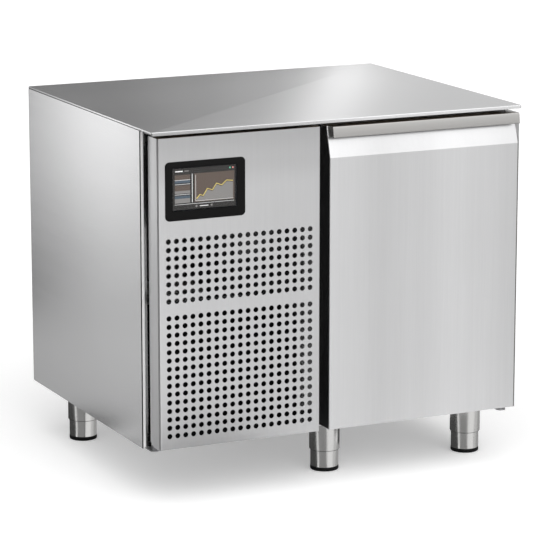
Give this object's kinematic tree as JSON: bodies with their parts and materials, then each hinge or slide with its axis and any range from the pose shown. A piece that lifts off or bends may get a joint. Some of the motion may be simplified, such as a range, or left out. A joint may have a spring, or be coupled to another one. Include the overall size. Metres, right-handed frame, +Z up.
{
  "type": "proofing counter",
  "caption": "Stainless proofing counter: perforated service panel with touchscreen on the left, insulated tray chamber behind a right-hinged door, worktop over both, screw feet.",
  "frame": {"origin": "on the floor, under the middle of the whole counter with its door and handle", "axes": "+X to the right seen from the front, +Y to the rear, +Z up"},
  "size_m": [0.915, 0.7596, 0.84],
  "materials": {
    "stainless": "satin",
    "stainless_inner": "satin",
    "galvanised": "satin",
    "black_metal": "satin",
    "coil_fins": "satin",
    "board": "matte",
    "foam": "matte",
    "grey_plastic": "matte",
    "light_plastic": "matte",
    "black_plastic": "matte",
    "bezel": "satin",
    "screen_glass": "gloss",
    "display": "gloss",
    "rubber": "matte",
    "gasket": "matte"
  },
  "bodies": {
    "cabinet": {"worktop": "stainless", "worktop_board": "board", "left_side_panel": "stainless", "right_side_panel": "stainless", "base_panel": "galvanised", "top_rail": "black_metal", "bottom_rail": "black_metal", "divider_panel": "galvanised", "rear_panel": "galvanised", "rear_grille": "galvanised", "cable_gland": "black_plastic", "chamber_front_frame": "stainless", "thermal_break": "light_plastic", "insulation_body": "foam", "chamber_liner": "stainless_inner", "rack_posts": "stainless_inner", "tray_runners": "stainless_inner", "air_unit_cover": "stainless_inner", "air_fan_motor": "black_metal", "air_coil": "coil_fins", "heater_rods": "stainless_inner", "unit_tray": "black_metal", "condenser_coil": "coil_fins", "condenser_fan_shroud": "galvanised", "condenser_fan_motor": "black_metal", "compressor": "black_metal", "compressor_mounts": "rubber", "liquid_receiver": "black_metal", "steam_generator": "grey_plastic", "steam_pipe": "stainless_inner", "electrical_box": "grey_plastic", "door_hinge_brackets": "stainless", "panel_hinge_brackets": "stainless", "panel_catches": "black_plastic", "foot_sleeves": "stainless"},
    "door": {"door_skin": "stainless", "door_insulation": "foam", "door_pan": "stainless_inner", "door_gasket": "gasket", "door_handle": "stainless", "door_hinge_bushes": "black_plastic"},
    "service_panel": {"panel_skin": "stainless", "panel_hinge_bushes": "black_plastic", "screen_bezel": "bezel", "screen_glass": "screen_glass", "display_module": "display", "controller_housing": "black_plastic"},
    "condenser_fan": {"condenser_fan_blades": "black_plastic"},
    "air_fan": {"air_fan_blades": "black_plastic"},
    "foot_rear_left": {"foot_leg_rear_left": "stainless", "foot_pad_rear_left": "black_plastic"},
    "foot_front_middle": {"foot_leg_front_middle": "stainless", "foot_pad_front_middle": "black_plastic"},
    "foot_front_right": {"foot_leg_front_right": "stainless", "foot_pad_front_right": "black_plastic"},
    "foot_rear_right": {"foot_leg_rear_right": "stainless", "foot_pad_rear_right": "black_plastic"}
  },
  "joints": [
    {"name": "door_hinge", "type": "hinge", "parent": "cabinet", "child": "door", "pos_m": [0.433, -0.34025, 0.47825], "axis": [0, 0, 1], "range_deg": [0, 105]},
    {"name": "service_panel_hinge", "type": "hinge", "parent": "cabinet", "child": "service_panel", "pos_m": [-0.4365, -0.32125, 0.47825], "axis": [0, 0, -1], "range_deg": [0, 90]},
    {"name": "condenser_fan_spin", "type": "hinge", "parent": "cabinet", "child": "condenser_fan", "pos_m": [-0.24975, -0.19745, 0.2755], "axis": [0, 1, 0], "continuous": true},
    {"name": "air_fan_spin", "type": "hinge", "parent": "cabinet", "child": "air_fan", "pos_m": [0.204, -0.13425, 0.693], "axis": [0, 0, 1], "continuous": true},
    {"name": "foot_rear_left_screw", "type": "slide", "parent": "cabinet", "child": "foot_rear_left", "axis": [0, 0, -1], "range_m": [0, 0.03]},
    {"name": "foot_front_middle_screw", "type": "slide", "parent": "cabinet", "child": "foot_front_middle", "axis": [0, 0, -1], "range_m": [0, 0.03]},
    {"name": "foot_front_right_screw", "type": "slide", "parent": "cabinet", "child": "foot_front_right", "axis": [0, 0, -1], "range_m": [0, 0.03]},
    {"name": "foot_rear_right_screw", "type": "slide", "parent": "cabinet", "child": "foot_rear_right", "axis": [0, 0, -1], "range_m": [0, 0.03]}
  ]
}
